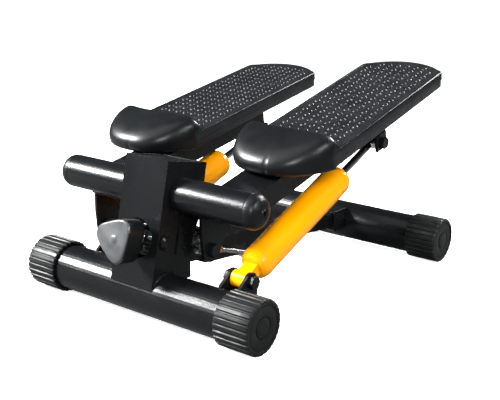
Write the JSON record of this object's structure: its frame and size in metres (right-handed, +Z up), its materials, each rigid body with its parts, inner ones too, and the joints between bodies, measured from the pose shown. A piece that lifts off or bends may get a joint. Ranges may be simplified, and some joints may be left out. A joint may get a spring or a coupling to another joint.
{
  "type": "mini stepper",
  "caption": "Compact hydraulic mini stepper: two linked foot pedals on a leaning front post, an amber damper under each pedal and a cable that makes them rock in turn.",
  "frame": {"origin": "centre of the footprint, on the floor", "axes": "+Z up, +Y from the knob and pivot end to the heel end of the pedals, +X to the user's right"},
  "size_m": [0.3206, 0.4976, 0.2656],
  "materials": {
    "paint": "semi-gloss black powder coat",
    "plastic": "satin moulded black",
    "tread": "studded anti-slip black",
    "rubber": "matte ribbed black",
    "amber": "gloss amber yellow",
    "chrome": "polished",
    "zinc": "zinc plated",
    "brass": "crimped, satin",
    "nylon": "natural nylon",
    "knob": "worn satin grey"
  },
  "bodies": {
    "base": {"front_tube": "paint", "rear_tube": "paint", "main_beam": "paint", "saddle_bracket": "paint", "post": "paint", "post_cap": "plastic", "screw_trunnion": "paint", "pivot_axle": "zinc", "end_cap_front_right": "rubber", "end_cap_rear_right": "rubber", "sleeve_cap_right": "plastic", "cap_screw_right": "paint", "lower_yoke_right": "paint", "lower_pin_right": "paint", "end_cap_front_left": "rubber", "end_cap_rear_left": "rubber", "sleeve_cap_left": "plastic", "cap_screw_left": "paint", "lower_yoke_left": "paint", "lower_pin_left": "paint"},
    "pedal_right": {"pivot_sleeve_right": "paint", "pivot_bush_right": "nylon", "pedal_arm_right": "paint", "cable_lug_right": "paint", "lug_bolt_right": "paint", "lug_nut_right": "zinc", "pedal_tread_right": "tread", "toe_cap_right": "plastic", "upper_bracket_right": "paint", "upper_pin_right": "paint"},
    "damper_right": {"damper_body_right": "amber", "damper_gland_right": "paint"},
    "piston_right": {"piston_rod_right": "chrome"},
    "cable_right": {"balance_cable_right": "zinc", "cable_ferrule_right": "brass"},
    "pedal_left": {"pivot_sleeve_left": "paint", "pivot_bush_left": "nylon", "pedal_arm_left": "paint", "cable_lug_left": "paint", "lug_bolt_left": "paint", "lug_nut_left": "zinc", "pedal_tread_left": "tread", "toe_cap_left": "plastic", "upper_bracket_left": "paint", "upper_pin_left": "paint"},
    "damper_left": {"damper_body_left": "amber", "damper_gland_left": "paint"},
    "piston_left": {"piston_rod_left": "chrome"},
    "cable_left": {"balance_cable_left": "zinc", "cable_ferrule_left": "brass"},
    "carriage": {"pulley_carriage": "paint", "pulley_bolt": "zinc", "cable_loop": "zinc"},
    "pulley": {"balance_pulley": "nylon"},
    "knob": {"height_knob": "knob", "height_screw": "zinc", "knob_spring": "chrome"}
  },
  "joints": [
    {"name": "pedal_right_hinge", "type": "hinge", "parent": "base", "child": "pedal_right", "pos_m": [0, -0.17513, 0.1399], "axis": [1, 0, 0], "range_deg": [-9.6, 6.4]},
    {"name": "pedal_left_hinge", "type": "hinge", "parent": "base", "child": "pedal_left", "pos_m": [0, -0.17513, 0.1399], "axis": [1, 0, 0], "range_deg": [-6.4, 9.6]},
    {"name": "damper_right_tilt", "type": "hinge", "parent": "base", "child": "damper_right", "pos_m": [0.11, -0.16763, 0.0625], "axis": [1, 0, 0], "range_deg": [-8.95, 6]},
    {"name": "damper_left_tilt", "type": "hinge", "parent": "base", "child": "damper_left", "pos_m": [-0.07, -0.16763, 0.0625], "axis": [1, 0, 0], "range_deg": [-6, 8.95]},
    {"name": "piston_right_slide", "type": "slide", "parent": "damper_right", "child": "piston_right", "axis": [0, 0.9177, 0.3974], "range_m": [-0.0127, 0.0085]},
    {"name": "piston_left_slide", "type": "slide", "parent": "damper_left", "child": "piston_left", "axis": [0, 0.9369, 0.3496], "range_m": [-0.0085, 0.0127]},
    {"name": "cable_right_swing", "type": "hinge", "parent": "pedal_right", "child": "cable_right", "pos_m": [0.035, -0.13764, 0.07306], "axis": [1, 0, 0], "range_deg": [-8.7, 13.1]},
    {"name": "cable_left_swing", "type": "hinge", "parent": "pedal_left", "child": "cable_left", "pos_m": [-0.106, -0.14142, 0.07107], "axis": [1, 0, 0], "range_deg": [-13.2, 8.8]},
    {"name": "knob_turn", "type": "hinge", "parent": "base", "child": "knob", "pos_m": [0, -0.20929, 0.09319], "axis": [0, -0.9863, 0.165], "range_deg": [0, 1441]},
    {"name": "carriage_slide", "type": "slide", "parent": "base", "child": "carriage", "axis": [0, 0.9971, -0.0758], "range_m": [0, 0.006]},
    {"name": "pulley_spin", "type": "hinge", "parent": "carriage", "child": "pulley", "pos_m": [0, 0.00537, 0.0295], "axis": [0, 0, 1], "range_deg": [-19, 12.8]}
  ],
  "couplings": [
    {"joint": "pedal_left_hinge", "follows": "pedal_right_hinge", "ratio": -1},
    {"joint": "damper_right_tilt", "follows": "pedal_right_hinge", "ratio": 0.925},
    {"joint": "damper_left_tilt", "follows": "pedal_right_hinge", "ratio": -0.92007},
    {"joint": "piston_right_slide", "follows": "pedal_right_hinge", "m_per_rad": 0.074712},
    {"joint": "piston_left_slide", "follows": "pedal_right_hinge", "m_per_rad": -0.074265},
    {"joint": "cable_right_swing", "follows": "pedal_right_hinge", "ratio": -1.3458},
    {"joint": "cable_left_swing", "follows": "pedal_right_hinge", "ratio": 1.3595},
    {"joint": "pulley_spin", "follows": "pedal_right_hinge", "ratio": 1.9586},
    {"joint": "knob_turn", "follows": "carriage_slide", "rad_per_m": 4188.8}
  ]
}
